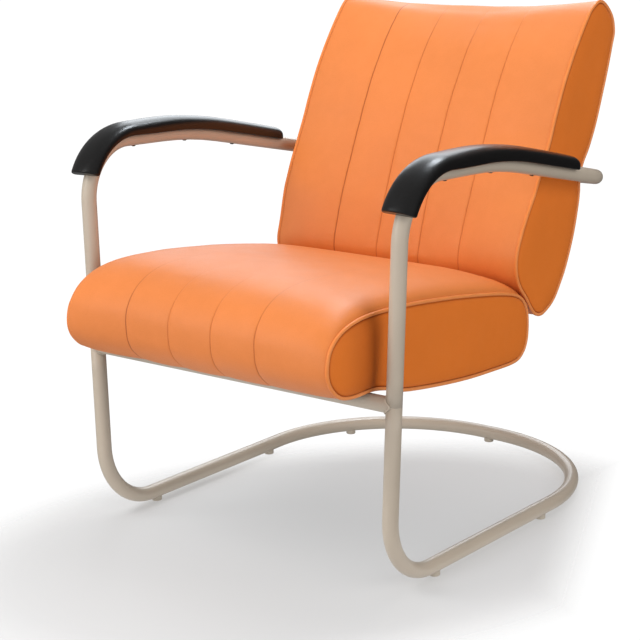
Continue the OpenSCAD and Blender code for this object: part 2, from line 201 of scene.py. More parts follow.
def sweep(path, radius, sides=16, closed=False, caps=True, up=(0.0, 0.0, 1.0)):
    """A round tube along a path, with frames carried along it without twist. radius is a number or one per point."""
    path = np.asarray(path, float)
    n = len(path)
    if closed:
        tan = np.roll(path, -1, axis=0) - np.roll(path, 1, axis=0)
    else:
        tan = np.gradient(path, axis=0)
    tan = tan / np.linalg.norm(tan, axis=1, keepdims=True)
    u = np.array(up, float)
    u = u - tan[0] * (u @ tan[0])
    if np.linalg.norm(u) < 1e-6:
        u = np.array([1.0, 0, 0]) - tan[0] * tan[0][0]
    u = unit(u)
    rad = np.broadcast_to(np.asarray(radius, float), (n,))
    verts = []
    for i in range(n):
        u = u - tan[i] * (u @ tan[i])
        u = unit(u)
        w = np.cross(tan[i], u)
        for j in range(sides):
            t = 2 * math.pi * j / sides
            verts.append(path[i] + rad[i] * (u * math.cos(t) + w * math.sin(t)))
    faces = grid_faces(n, sides, wrap_r=closed, wrap_c=True)
    if not closed and caps:
        faces.append(tuple(range(sides))[::-1])
        faces.append(tuple((n - 1) * sides + j for j in range(sides)))
    return np.array(verts), faces


def merge(parts):
    verts, faces, at = [], [], 0
    for v, f in parts:
        verts.append(np.asarray(v, float))
        faces += [tuple(i + at for i in g) for g in f]
        at += len(v)
    return np.vstack(verts), faces


# ------------------------------------------------------------------ materials
class Mat:
    """A small helper to wire node materials."""

    def __init__(self, name):
        self.m = bpy.data.materials.new(name)
        self.m.use_nodes = True
        self.nt = self.m.node_tree
        self.nt.nodes.clear()
        self.out = self.nt.nodes.new("ShaderNodeOutputMaterial")
        self.b = self.nt.nodes.new("ShaderNodeBsdfPrincipled")
        self.nt.links.new(self.b.outputs[0], self.out.inputs[0])
        self.co = self.nt.nodes.new("ShaderNodeTexCoord").outputs["Object"]

    def link(self, a, b):
        self.nt.links.new(a, b)

    def set(self, **kw):
        for k, v in kw.items():
            self.b.inputs[k.replace("_", " ")].default_value = v
        return self

    def node(self, kind, **kw):
        n = self.nt.nodes.new(kind)
        for k, v in kw.items():
            setattr(n, k, v)
        return n

    def scaled(self, sx, sy, sz, rot=(0, 0, 0)):
        n = self.node("ShaderNodeMapping")
        n.inputs["Scale"].default_value = (sx, sy, sz)
        n.inputs["Rotation"].default_value = rot
        self.link(self.co, n.inputs["Vector"])
        return n.outputs[0]

    def noise(self, scale, detail=3.0, rough=0.5, co=None, distortion=0.0):
        n = self.node("ShaderNodeTexNoise")
        n.inputs["Scale"].default_value = scale
        n.inputs["Detail"].default_value = detail
        n.inputs["Roughness"].default_value = rough
        n.inputs["Distortion"].default_value = distortion
        self.link(co or self.co, n.inputs["Vector"])
        return n.outputs["Fac"]

    def voronoi(self, scale, feature="F1", co=None, rand=1.0):
        n = self.node("ShaderNodeTexVoronoi", feature=feature)
        n.inputs["Scale"].default_value = scale
        n.inputs["Randomness"].default_value = rand
        self.link(co or self.co, n.inputs["Vector"])
        return n.outputs["Distance"]

    def ramp(self, fac, stops, mode="LINEAR"):
        n = self.node("ShaderNodeValToRGB")
        n.color_ramp.interpolation = mode
        els = n.color_ramp.elements
        while len(els) < len(stops):
            els.new(0.5)
        for e, (pos, col) in zip(els, stops):
            e.position = pos
            e.color = (*col, 1.0) if not isinstance(col, (int, float)) else (col, col, col, 1.0)
        self.link(fac, n.inputs[0])
        return n.outputs[0]

    def mix(self, fac, a, b, blend="MIX"):
        n = self.node("ShaderNodeMix", data_type="RGBA", blend_type=blend)
        for key, v in (("Factor", fac), ("A", a), ("B", b)):
            s = [i for i in n.inputs if i.name == key and (i.type == "RGBA" or (key == "Factor" and i.type == "VALUE"))][0]
            if isinstance(v, (int, float)):
                s.default_value = v
            elif isinstance(v, tuple):
                s.default_value = (*v, 1.0)
            else:
                self.link(v, s)
        return [o for o in n.outputs if o.type == "RGBA"][0]

    def math(self, op, a, b=None, c=None, clamp=False):
        n = self.node("ShaderNodeMath", operation=op, use_clamp=clamp)
        for i, v in enumerate((a, b, c)):
            if v is None:
                continue
            if isinstance(v, (int, float)):
                n.inputs[i].default_value = v
            else:
                self.link(v, n.inputs[i])
        return n.outputs[0]

    def attr(self, name):
        n = self.node("ShaderNodeAttribute", attribute_name=name)
        return n.outputs["Fac"]

    def bump(self, height, strength, distance, normal=None):
        n = self.node("ShaderNodeBump")
        n.inputs["Strength"].default_value = strength
        n.inputs["Distance"].default_value = distance
        self.link(height, n.inputs["Height"])
        if normal is not None:
            self.link(normal, n.inputs["Normal"])
        return n.outputs[0]

    def color(self, s):
        self.link(s, self.b.inputs["Base Color"])

    def rough(self, s):
        self.link(s, self.b.inputs["Roughness"])

    def normal(self, s):
        self.link(s, self.b.inputs["Normal"])


def leather(name, base, dark, pale, rough=(0.40, 0.50), grain=1.0, spec=0.40, sheen=0.0):
    m = Mat(name)
    cloud = m.noise(5.0, 3.0, 0.55)
    mottle = m.noise(42.0, 4.0, 0.6)
    c = m.mix(m.ramp(cloud, [(0.35, 0.0), (0.65, 1.0)]), tuple(v * 0.965 for v in base), tuple(min(1, v * 1.03) for v in base))
    c = m.mix(m.math("MULTIPLY", m.ramp(mottle, [(0.42, 0.0), (0.72, 1.0)]), 0.16), c, pale)
    pores = m.voronoi(1150.0, "F1")
    pebble = m.voronoi(620.0, "DISTANCE_TO_EDGE", rand=0.9)
    fine = m.noise(2600.0, 2.0, 0.6)
    crack = m.ramp(pebble, [(0.0, 1.0), (0.09, 0.0)])
    c = m.mix(m.math("MULTIPLY", crack, 0.10 * grain), c, dark)
    # Painted shade: the vertex attribute darkens the sewn lines, the piped edges and the side panels' creases towards
    # DARK.
    seam_and_shade = m.attr("seam_and_shade")
    c = m.mix(m.math("MULTIPLY", seam_and_shade, 0.93), c, dark)
    # Painted highlight: only the piping cords set this attribute, lightening one side of each cord towards the pale
    # colour.
    wear_and_highlight = m.attr("wear_and_highlight")
    c = m.mix(m.math("MULTIPLY", wear_and_highlight, 0.55), c, pale)
    m.color(c)
    r = m.math("MULTIPLY_ADD", m.noise(24.0, 3.0, 0.5), rough[1] - rough[0], rough[0])
    r = m.math("ADD", r, m.math("MULTIPLY", crack, 0.10))
    m.rough(r)
    h = m.math("ADD", m.math("MULTIPLY", m.ramp(pebble, [(0.0, 0.0), (0.16, 1.0)]), 0.7), m.math("MULTIPLY", pores, 0.5))
    h = m.math("ADD", h, m.math("MULTIPLY", fine, 0.35))
    n1 = m.bump(h, 0.16 * grain, 0.0006)
    n2 = m.bump(m.noise(70.0, 3.0, 0.5), 0.10, 0.0015, n1)
    m.normal(n2)
    m.set(Specular_IOR_Level=spec, Sheen_Weight=sheen, Sheen_Roughness=0.45)
    return m.m


def powder_coat(name, base):
    m = Mat(name)
    c = m.mix(m.ramp(m.noise(9.0, 3.0), [(0.35, 0.0), (0.65, 1.0)]), tuple(v * 0.97 for v in base), tuple(min(1, v * 1.03) for v in base))
    speck = m.ramp(m.noise(1400.0, 2.0), [(0.62, 0.0), (0.72, 1.0)])
    c = m.mix(m.math("MULTIPLY", speck, 0.12), c, tuple(v * 0.7 for v in base))
    m.color(c)
    m.rough(m.math("MULTIPLY_ADD", m.noise(30.0, 2.0), 0.08, 0.30))
    m.normal(m.bump(m.noise(520.0, 2.0, 0.5), 0.10, 0.0004))
    m.set(Specular_IOR_Level=0.5, Coat_Weight=0.25, Coat_Roughness=0.22)
    return m.m


def black_wood(name):
    m = Mat(name)
    co = m.scaled(90.0, 9.0, 90.0)
    grain = m.noise(7.0, 6.0, 0.6, co=co, distortion=0.6)
    pore = m.ramp(m.noise(26.0, 5.0, 0.65, co=co), [(0.60, 0.0), (0.72, 1.0)])
    c = m.mix(m.ramp(grain, [(0.3, 0.0), (0.7, 1.0)]), (0.0042, 0.0040, 0.0042), (0.0095, 0.0088, 0.0085))
    c = m.mix(m.math("MULTIPLY", pore, 0.5), c, (0.003, 0.003, 0.003))
    wear_and_highlight = m.attr("wear_and_highlight")
    c = m.mix(m.math("MULTIPLY", wear_and_highlight, 0.35), c, (0.06, 0.055, 0.05))
    m.color(c)
    m.rough(m.math("MULTIPLY_ADD", m.noise(14.0, 4.0, 0.6), 0.08, 0.28))
    n = m.bump(grain, 0.06, 0.0006)
    n = m.bump(pore, 0.12, 0.0004, n)
    m.normal(n)
    m.set(Specular_IOR_Level=0.40, Coat_Weight=0.08, Coat_Roughness=0.2)
    return m.m


def metal(name, base, rough=0.3, metallic=1.0, scratch=0.2):
    m = Mat(name)
    c = m.mix(m.ramp(m.noise(60.0, 4.0), [(0.3, 0.0), (0.7, 1.0)]), tuple(v * 0.88 for v in base), base)
    m.color(c)
    m.rough(m.math("MULTIPLY_ADD", m.noise(220.0, 3.0), 0.16, rough))
    m.normal(m.bump(m.noise(900.0, 2.0), scratch, 0.0002))
    m.set(Metallic=metallic)
    return m.m


def moulded(name, base, rough=0.5, spec=0.4):
    m = Mat(name)
    c = m.mix(m.ramp(m.noise(35.0, 3.0), [(0.3, 0.0), (0.7, 1.0)]), tuple(v * 0.9 for v in base), base)
    m.color(c)
    m.rough(m.math("MULTIPLY_ADD", m.noise(300.0, 3.0), 0.12, rough))
    m.normal(m.bump(m.noise(1500.0, 2.0), 0.12, 0.0002))
    m.set(Specular_IOR_Level=spec)
    return m.m


def plywood(name):
    m = Mat(name)
    co = m.scaled(6.0, 60.0, 60.0)
    g = m.noise(3.0, 6.0, 0.6, co=co, distortion=0.8)
    c = m.mix(m.ramp(g, [(0.3, 0.0), (0.7, 1.0)]), (0.42, 0.27, 0.13), (0.62, 0.45, 0.26))
    m.color(c)
    m.rough(m.math("MULTIPLY_ADD", g, 0.15, 0.55))
    m.normal(m.bump(g, 0.2, 0.0008))
    return m.m


def foam_mat(name):
    m = Mat(name)
    v = m.voronoi(900.0, "F1")
    c = m.mix(m.ramp(v, [(0.1, 0.0), (0.6, 1.0)]), (0.55, 0.48, 0.28), (0.85, 0.79, 0.55))
    m.color(c)
    m.rough(m.math("MULTIPLY_ADD", v, 0.1, 0.85))
    m.normal(m.bump(v, 0.6, 0.0008))
    return m.m


def woven(name, base, pitch=0.0009):
    m = Mat(name)
    k = 2 * math.pi / pitch
    sep = m.node("ShaderNodeSeparateXYZ")
    m.link(m.co, sep.inputs[0])
    wx = m.math("SINE", m.math("MULTIPLY", sep.outputs[0], k))
    wy = m.math("SINE", m.math("MULTIPLY", sep.outputs[1], k))
    w = m.math("MULTIPLY_ADD", m.math("MULTIPLY", wx, wy), 0.5, 0.5)
    c = m.mix(w, tuple(v * 0.5 for v in base), tuple(min(1, v * 1.5) for v in base))
    c = m.mix(m.math("MULTIPLY", m.noise(30.0, 3.0), 0.35), c, tuple(v * 0.6 for v in base))
    m.color(c)
    m.rough(m.math("MULTIPLY_ADD", w, 0.1, 0.8))
    m.normal(m.bump(w, 0.5, 0.0003))
    m.set(Specular_IOR_Level=0.2, Sheen_Weight=0.3, Sheen_Roughness=0.5)
    return m.m


def thread(name, base):
    m = Mat(name)
    tw = m.noise(1800.0, 2.0)
    m.color(m.mix(tw, tuple(v * 0.7 for v in base), base))
    m.rough(m.math("MULTIPLY_ADD", tw, 0.15, 0.5))
    m.normal(m.bump(tw, 0.4, 0.0002))
    return m.m


ORANGE = (0.74, 0.215, 0.048)
# A copy of the orange leather's colour, redder and more saturated, tuned to the look of the shaded sides and rear:
# painted shade.
SIDE_SHADE_TONE = (0.80, 0.200, 0.029)
DARK = (0.24, 0.040, 0.003)
PALE = (0.86, 0.27, 0.075)
M_TOP = leather("orange_leather_top", ORANGE, DARK, PALE, spec=0.5)
M_SIDE_SHADE = leather("orange_leather_side_shade_copy", SIDE_SHADE_TONE, DARK, (0.82, 0.23, 0.045), spec=0.14)
M_PIPE = leather("orange_leather_piping", (0.78, 0.220, 0.042), DARK, (0.95, 0.42, 0.17), rough=(0.36, 0.44), grain=0.6)
M_TUBE = powder_coat("greige_powder_coat", (0.50, 0.424, 0.338))
M_WOOD = black_wood("black_satin_wood")
M_ZINC = metal("zinc_plated_steel", (0.52, 0.54, 0.56), 0.30)
M_STEEL = metal("bare_steel", (0.50, 0.50, 0.51), 0.35)
M_BRASS = metal("brass", (0.70, 0.50, 0.20), 0.28)
M_SCREW = metal("black_screw", (0.03, 0.03, 0.03), 0.35, 0.6)
M_RUBBER = moulded("black_rubber", (0.018, 0.018, 0.018), 0.65, 0.3)
M_BLACK = moulded("black_plastic", (0.022, 0.022, 0.023), 0.45)
M_GLIDE = moulded("greige_glide_plastic", (0.50, 0.44, 0.36), 0.48)
M_PLY = plywood("birch_plywood")
M_FOAM = foam_mat("upholstery_foam")
M_CLOTH = woven("black_bottom_cloth", (0.020, 0.020, 0.021))
M_THREAD = thread("orange_thread", (0.55, 0.13, 0.03))
M_STAPLE = metal("staple_steel", (0.62, 0.62, 0.63), 0.3)

# ------------------------------------------------------------------ frame tube
TUBE_R = 12.5
Z0 = 18.0
HALF_F, HALF_B, DEPTH = 291.0, 302.0, 766.0
SPLAY = math.radians(1.9)
UP_H = 627.0
K3, K4, K5 = (-5.0, 627.0), (253.0, 622.0), (648.0, 545.0)
RAIL_Z = 307.5


def side_pt(s, p):
    return np.array([s * (HALF_F + p[1] * math.sin(SPLAY)), p[0], Z0 + p[1] * math.cos(SPLAY)])


RAIL_F = (RAIL_Z - Z0) / (UP_H * math.cos(SPLAY))
RAIL_Y = K3[0] * RAIL_F
RAIL_X = HALF_F + UP_H * RAIL_F * math.sin(SPLAY)


def split_pt(s):
    return side_pt(s, (K3[0] * RAIL_F, K3[1] * RAIL_F))


base_k = [split_pt(-1), side_pt(-1, (0, 0)), (-HALF_B, DEPTH, Z0), (HALF_B, DEPTH, Z0), side_pt(1, (0, 0)), split_pt(1)]
arm_k = [split_pt(1), side_pt(1, K3), side_pt(1, K4), side_pt(1, K5), side_pt(-1, K5), side_pt(-1, K4), side_pt(-1, K3), split_pt(-1)]
v, f = sweep(fillet_path(base_k, [112, 282, 282, 112]), TUBE_R, 56)
make("base_tube_loop", v, f, M_TUBE, replaces=("base_tube",))
v, f = sweep(fillet_path(arm_k, [94, 815, 88, 88, 815, 94], bend_step=2.0), TUBE_R, 56)
make("arm_tube_loop", v, f, M_TUBE, replaces=("arm_tube",))

# Cross rail, its ends shaped to the uprights, and the weld beads round its ends
ang = np.linspace(0, 2 * math.pi, 64, endpoint=False)
ry, rz = TUBE_R * np.cos(ang), TUBE_R * np.sin(ang)
reach = np.sqrt(np.maximum(0.0, TUBE_R**2 - ry**2))
rings = []
lean = math.tan(SPLAY)
for s in (-1, 1):
    rings.append(np.stack([s * (RAIL_X + rz * lean - reach), RAIL_Y + ry, RAIL_Z + rz], -1))
cols = [rings[0] + (rings[1] - rings[0]) * t for t in np.linspace(0, 1, 25)]
verts = np.vstack(cols)
faces = grid_faces(25, 64, wrap_c=True)
make("cross_rail_tube", verts, faces, M_TUBE, replaces=("cross_rail",))
beads = []
for s in (-1, 1):
    a2 = np.linspace(0, 2 * math.pi, 120, endpoint=False)
    y2, z2 = (TUBE_R + 0.6) * np.cos(a2), (TUBE_R + 0.6) * np.sin(a2)
    x2 = s * (RAIL_X + z2 * lean - np.sqrt(np.maximum(0.0, (TUBE_R + 0.4) ** 2 - np.minimum(np.abs(y2), TUBE_R + 0.4) ** 2)) - 0.6)
    path = np.stack([x2, RAIL_Y + y2, RAIL_Z + z2], -1)
    rad = 1.6 + 0.16 * np.sin(a2 * 26) + 0.15 * noise2(a2 * 5, a2 * 0 + s * 3, 4)
    rad[[0, -1]] = rad[[0, -1]].mean()
    beads.append(sweep(path, rad, 12, closed=True))
v, f = merge(beads)
make("rail_weld_beads", v, f, M_TUBE)

# ------------------------------------------------------------------ arm pads
PAD_W, PAD_RISE = 50.0, 18.5
d34 = unit(np.subtract(K4, K3))
d45 = unit(np.subtract(K5, K4))
d23 = unit(K3)


def perp(v):
    return np.array([-v[1], v[0]])


def turn(a, b):
    return math.acos(max(-1, min(1, float(np.dot(a, b)))))


TL3 = 94 * math.tan(turn(d23, d34) / 2)
TL4 = 815 * math.tan(turn(d34, d45) / 2)
C3 = np.array(K3) - d23 * TL3 - perp(d23) * 94
C4 = np.array(K4) - d34 * TL4 - perp(d34) * 815
A_UP = math.degrees(math.atan2(perp(d23)[1], perp(d23)[0])) % 360
A_34 = math.degrees(math.atan2(perp(d34)[1], perp(d34)[0]))
A_45 = math.degrees(math.atan2(perp(d45)[1], perp(d45)[0]))
PAD_TAIL = (493 - K4[0]) / d45[0]


def pad_stations(start=25.0):
    """Points of the tube's axis under the pad, in the side plane, with the outward direction at each."""
    out = []
    for a in np.linspace(A_UP - start, A_34, 44):
        r = np.array([math.cos(math.radians(a)), math.sin(math.radians(a))])
        out.append((C3 + 94 * r, r))
    a0, a1 = np.array(K3) + d34 * TL3, np.array(K4) - d34 * TL4
    for t in np.linspace(0, 1, 8)[1:-1]:
        out.append((a0 + (a1 - a0) * t, perp(d34)))
    for a in np.linspace(A_34, A_45, 40):
        r = np.array([math.cos(math.radians(a)), math.sin(math.radians(a))])
        out.append((C4 + 815 * r, r))
    b0, b1 = np.array(K4) + d45 * TL4, np.array(K4) + d45 * PAD_TAIL
    for t in np.linspace(0, 1, 44)[1:]:
        out.append((b0 + (b1 - b0) * t, perp(d45)))
    return out


def pad_section(w, rise, low=10.0, shrink=0.0):
    """Closed section [across, out]: domed top, soft lower edges, and the groove that sits on the tube."""
    h = w / 2 - shrink
    top = TUBE_R + rise - shrink
    lo = low + shrink
    pts = []
    arc_r = TUBE_R + 0.05
    gx = math.sqrt(max(0.1, arc_r**2 - lo**2))
    a0 = math.atan2(lo, gx)
    for t in np.linspace(a0, math.pi - a0, 17):
        pts.append((arc_r * math.cos(t), arc_r * math.sin(t)))
    edge = 3.2
    pts.append((-(h - edge - 4), lo))
    for t in np.linspace(0, 90, 7):
        pts.append((-(h - edge + edge * math.sin(math.radians(t))), lo + edge - edge * math.cos(math.radians(t))))
    n = 40
    z1 = lo + edge
    for i in range(1, n):
        t = math.pi * (1 - i / n)
        c, s = math.cos(t), math.sin(t)
        x = h * math.copysign(abs(c) ** 0.86, c)
        pts.append((x, z1 + (top - z1) * abs(s) ** 0.80))
    for t in np.linspace(90, 0, 7):
        pts.append(((h - edge + edge * math.sin(math.radians(t))), lo + edge - edge * math.cos(math.radians(t))))
    pts.append(((h - edge - 4), lo))
    return np.array(pts)


def arm_pad(s, name, node):
    st = pad_stations()
    dist = np.concatenate([[0], np.cumsum([np.linalg.norm(st[i + 1][0] - st[i][0]) for i in range(len(st) - 1)])])
    total = dist[-1]
    verts, wear_and_highlight = [], []
    nsec = None
    rows = []
    # the front end face has a small rounded edge
    order = [(0, 2.6, 0.0), (0, 1.5, 0.5), (0, 0.8, 1.1), (0, 0.3, 1.9)] + [(i, 0.0, 0.0) for i in range(1, len(st))]
    for i, shrink, ahead in order:
        c, r = st[i]
        t = np.array([r[1], -r[0]]) * 1.0
        c = c + t * ahead if i == 0 else c
        left = total - dist[i]
        w, rise = PAD_W, PAD_RISE
        flare = 1.0 / (1.0 + math.exp((dist[i] - 215.0) / 62.0))
        w = PAD_W + 9.0 * flare - 1.5 * np.clip((dist[i] - total * 0.5) / (total * 0.5), 0, 1)
        rise = PAD_RISE - 1.2 - 2.2 * np.clip(1 - left / 150.0, 0, 1) ** 1.6
        rise = rise - 2.0 * math.exp(-(((dist[i] - 72.0) / 46.0) ** 2)) + 1.6 * math.exp(-(((dist[i] - 190.0) / 60.0) ** 2))
        if left < 22:
            q = 1 - left / 22.0
            w = w * (1 - 0.62 * (1 - math.sqrt(max(0.0, 1 - q**2.2))))
            rise = rise - 6.5 * q**2.6
        low = 10.0 - 3.6 / (1.0 + math.exp(-(dist[i] - 85.0) / 18.0))
        sec = pad_section(w, rise, low, shrink=shrink + (0.0 if left > 3 else 1.2 * (1 - left / 3.0)))
        nsec = len(sec)
        rows.append(len(verts))
        for x, z in sec:
            p = c + r * z
            base = side_pt(1, (p[0], p[1]))
            v3 = base + np.array([math.cos(SPLAY), 0, -math.sin(SPLAY)]) * x
            verts.append(v3 * np.array([s, 1, 1]))
            wear_and_highlight.append(0.0)
    n = len(rows)
    faces = grid_faces(n, nsec, wrap_c=True, flip=s > 0)
    first = tuple(range(nsec))
    last = tuple((n - 1) * nsec + j for j in range(nsec))
    faces.append(first if s > 0 else first[::-1])
    faces.append(last[::-1] if s > 0 else last)
    o = make(name, verts, faces, M_WOOD, attrs={"wear_and_highlight": wear_and_highlight}, replaces=(node,))
    return o


arm_pad(1, "arm_pad_wood_left", "arm_pad_left")
arm_pad(-1, "arm_pad_wood_right", "arm_pad_right")

# Button-head screws under the arms
S1 = np.array(K3) + d34 * 113
A2 = math.degrees(math.acos((238 - C4[0]) / 815))
S2 = C4 + 815 * np.array([math.cos(math.radians(A2)), math.sin(math.radians(A2))])
S3 = np.array(K4) + d45 * 116


def turned(profile, centre, axis, sides=32, hex_r=0.0):
    """A turned solid: profile is [(radius, height along the axis)]."""
    axis = unit(axis)
    u = unit(np.cross(axis, [0.3, 0.9, 0.2]))
    w = np.cross(axis, u)
    verts = []
    for r, h in profile:
        for j in range(sides):
            t = 2 * math.pi * j / sides
            rr = r
            if hex_r and r <= hex_r + 1e-6:
                k = (t + math.pi / 6) % (math.pi / 3) - math.pi / 6
                rr = r / math.cos(k) * math.cos(math.pi / 6)
            verts.append(np.asarray(centre) + u * rr * math.cos(t) + w * rr * math.sin(t) + axis * h)
    faces = grid_faces(len(profile), sides, wrap_c=True)
    faces.append(tuple(range(sides))[::-1])
    faces.append(tuple((len(profile) - 1) * sides + j for j in range(sides)))
    return np.array(verts), faces


heads = []
for s in (-1, 1):
    for p, a in ((S1, A_34), (S2, A2), (S3, A_45)):
        r = np.array([math.cos(math.radians(a)), math.sin(math.radians(a))])
        c = side_pt(s, tuple(p))
        out = side_pt(s, tuple(p - r)) - c
        out = unit(out)
        prof = [(2.5, -(TUBE_R + 9.0) + 0.0), (2.5, TUBE_R - 0.2), (3.4, TUBE_R - 0.1), (3.6, TUBE_R + 0.3), (3.3, TUBE_R + 0.9), (2.6, TUBE_R + 1.3), (1.9, TUBE_R + 1.5), (1.4, TUBE_R + 1.5), (1.4, TUBE_R + 0.5)]
        heads.append(turned(prof, c, out, 36, 1.4))
v, f = merge(heads)
make("arm_button_screws", v, f, M_SCREW, smooth=False, replaces=("arm_screws",))

# ------------------------------------------------------------------ cushions
SEAT_PTS = [[-45, 323.5], [-78, 329], [-100, 345], [-111, 364], [-112, 386], [-104, 408], [-82, 426], [-48, 437], [0, 441], [90, 438],
            [190, 429], [280, 418], [365, 405], [415, 393], [440, 377], [452, 352], [452, 312], [438, 288], [410, 278],
            [340, 279], [260, 283], [170, 292], [85, 304], [40, 316.5], [0, 323.5]]
BACK_PTS = [[505, 341], [480, 346], [463, 361], [447, 381], [429, 401], [418, 424], [417, 450], [426, 478], [448, 518], [474, 556],
            [514, 628], [536, 678], [561, 729], [595, 782], [631, 826], [652, 846], [676, 860], [704, 855], [728, 837], [738, 808],
            [730, 779], [715, 735], [698, 692], [679, 647], [657, 608], [638, 583], [630, 563], [630, 540], [626, 514], [612, 466], [590, 417], [570, 386], [542, 356]]
seat_o = Outline(SEAT_PTS)
back_o = Shifted(Outline(BACK_PTS), [(0, -3.9), (1, -1), (2, 0.5), (3, 0.5), (4, 1.5), (5, 4.5), (6, 7.5), (8, 7.4), (10, 7.7), (12, 7.5), (13, 7.5), (14, 9.5), (15, 11.5), (15.5, 9.0), (16, 4.0),
                                     (17, -5.0), (18, -9.0), (19, -11.0), (24, -10.5), (28, -10.5), (31, -8.5), (32, -6.6)])
BACK_FAR = [(4, -10), (5, -20), (6, -29), (7, -27), (8, -13), (9, -2), (10, 1), (12, 0), (14.5, 0), (15.5, -3), (16.5, -5), (17.5, -5), (19, -2), (20, 0), (30, 0), (32, 0), (0, 0), (2, -2)]
BACK_FAR = sorted(BACK_FAR)
back_right = Shifted(back_o, BACK_FAR)
SEAT_W, BACK_W = 259.0, 258.5
PIPE_R = 2.9

T_COL = [0, 0.005, 0.011, 0.02, 0.034, 0.055, 0.085, 0.125, 0.18, 0.25, 0.33, 0.415]
T_COL = np.array(T_COL + [0.5] + [1 - t for t in T_COL[::-1]])


def cover_columns(bounds):
    """x at each column for one row, with its channel's number and its place in the channel."""
    x, t, d = [], [], []
    for i in range(len(bounds) - 1):
        cols = T_COL if i == len(bounds) - 2 else T_COL[:-1]
        for k in cols:
            x.append(bounds[i] + (bounds[i + 1] - bounds[i]) * k)
            t.append(k)
            d.append(min(k, 1 - k) * (bounds[i + 1] - bounds[i]))
    return np.array(x), np.array(t), np.array(d)


def cushion_surface(o, s_rows, half_w, lines, crown, puff, groove, shade=None, sink=0.0, seed=0, rough_up=1.0, far_w=None, far_edge_shade=0.0):
    """Rows run along the outline and columns across. Returns points, the painted shade along the sewn lines and piped
    edges, and the grid's size.
    lines(s) gives the x of the sewn lines, crown(s, x) the swell of the whole panel, and puff(s) and groove(s) the
    depth of the channels."""
    P, seam_and_shade, wear_and_highlight = [], [], []
    for s in s_rows:
        inner = list(lines(s))
        bounds = [-(far_w or half_w)] + inner + [half_w]
        x, t, d = cover_columns(bounds)
        a = o.at(s)
        n = o.normal(s)
        # distance to the nearest sewn line and to the piped edge
        dl = np.min([np.abs(x - b) for b in inner], axis=0) if inner else np.full_like(x, 1e3)
        de = np.where(x < 0, (far_w or half_w) + x, half_w - x)
        h = crown(s, x)
        h = np.where(h > 0, h * (1 - np.exp(-de / 1.3)), h)
        h = h + puff(s) * (1 - np.abs(2 * t - 1) ** 2.4)
        h = h - groove(s) * np.exp(-dl / 1.1)
        h = h - 0.5 * np.exp(-de / 1.2)
        # soft puckers beside the sewn lines, and a slow unevenness of the filling
        puck = fbm(np.full_like(x, s / 17.0), x / 60.0 + 7, seed, 2) * np.exp(-((dl - 7) / 9.0) ** 2)
        h = h + rough_up * (0.45 * puck * min(1.0, puff(s) / 2.0) + 0.5 * fbm(np.full_like(x, s / 75.0), x / 75.0, seed + 9, 2) * np.clip(de / 30, 0, 1))
        h = h - sink
        P.append(np.stack([x, a[0] + n[0] * h, a[1] + n[1] * h], -1))
        # Painted shade: dark bands in the sewn lines, weaker where the top is lit, and along both piped edges, wider on
        # the far edge.
        k = np.zeros_like(x)
        for i, b in enumerate(inner):
            k = np.maximum(k, (shade(i, s) if shade else 0.6) * np.exp(-(((x - b) / 0.95) ** 2)))
        edge = np.where(x < 0, far_edge_shade * np.exp(-((de / 3.0) ** 2)), 0.3 * np.exp(-((de / 0.7) ** 2)))
        seam_and_shade.append(np.maximum(k, edge))
        wear_and_highlight.append(np.zeros_like(x))
    nr, nc = len(P), len(P[0])
    return np.vstack(P), np.concatenate(seam_and_shade), np.concatenate(wear_and_highlight), nr, nc


def thick(ob, t=0.0015):
    """The leather's or cloth's own thickness, inwards."""
    m = ob.modifiers.new("thickness", "SOLIDIFY")
    m.thickness = t
    m.offset = -1.0
    m.use_even_offset = False
    return ob


def spaced(a, b, step):
    return np.linspace(a, b, max(2, int(abs(b - a) / step) + 1))


# ---- seat
S_FRONT, S_REAR = 0.0, seat_o.mark(18)
seat_crown_t = [(0, 2), (2, 2), (3, 3), (4, 6), (5, 14), (6, 23.2), (7, 29.8), (8, 32.7), (9, 34), (10, 33), (11, 32), (12, 30), (13, 23), (14, 13), (15, 5), (16, 3), (18, 2), (21, 2), (24, 2)]
SEAT_LINES = np.array([-124.5, -37.5, 46.5, 131.0])
SEAT_FAR = 257.5


def seat_crown(s, x):
    c = float(seat_o.smooth_values(seat_crown_t, s, 12.0))
    t = np.minimum(1.0, np.where(x < 0, -x / SEAT_FAR, x / SEAT_W))
    near = 1 - 0.4 * np.exp(-np.maximum(SEAT_W - x, 0) / 9.0)
    return c * np.where(x < 0, (1 - t**6) ** 0.33, (1 - t**4) ** 0.42 * near)


def seat_puff(s):
    return float(seat_o.smooth_values([(0, 1.2), (3, 1.9), (5, 1.6), (6, 1.0), (7, 0.3), (8, 0.0), (12, 0.0), (14, 0.2), (18, 0.0), (24, 0.5)], s))


def seat_groove(s):
    return float(seat_o.smooth_values([(0, 0.9), (3, 1.2), (5, 1.0), (6, 0.7), (7, 0.3), (8, 0.08), (13, 0.05), (15, 0.3), (18, 0.2), (24, 0.4)], s))


def seat_shade(i, s):
    full = [0.80, 0.28, 0.34, 0.46][i]
    top = [0.10, 0.01, 0.01, 0.14][i]
    k = float(seat_o.smooth_values([(0, 1), (5, 1), (7, 0.1), (9, 0), (13, 0), (14, 0.5), (24, 1)], s, 20.0))
    return top + (full - top) * k


rows = np.concatenate([spaced(S_FRONT + 2, seat_o.mark(8), 2.6), spaced(seat_o.mark(8) + 3, S_REAR, 4.0)])
P, seam_and_shade, wear_and_highlight, nr, nc = cushion_surface(seat_o, rows, SEAT_W - 0.6, lambda s: SEAT_LINES, seat_crown, seat_puff, seat_groove, seat_shade, seed=3, far_w=SEAT_FAR - 0.6)
seat_cover = make("seat_leather_cover", P, grid_faces(nr, nc), M_TOP, attrs={"seam_and_shade": seam_and_shade, "wear_and_highlight": wear_and_highlight}, replaces=("seat_cover", "seat_foam"))
thick(seat_cover)

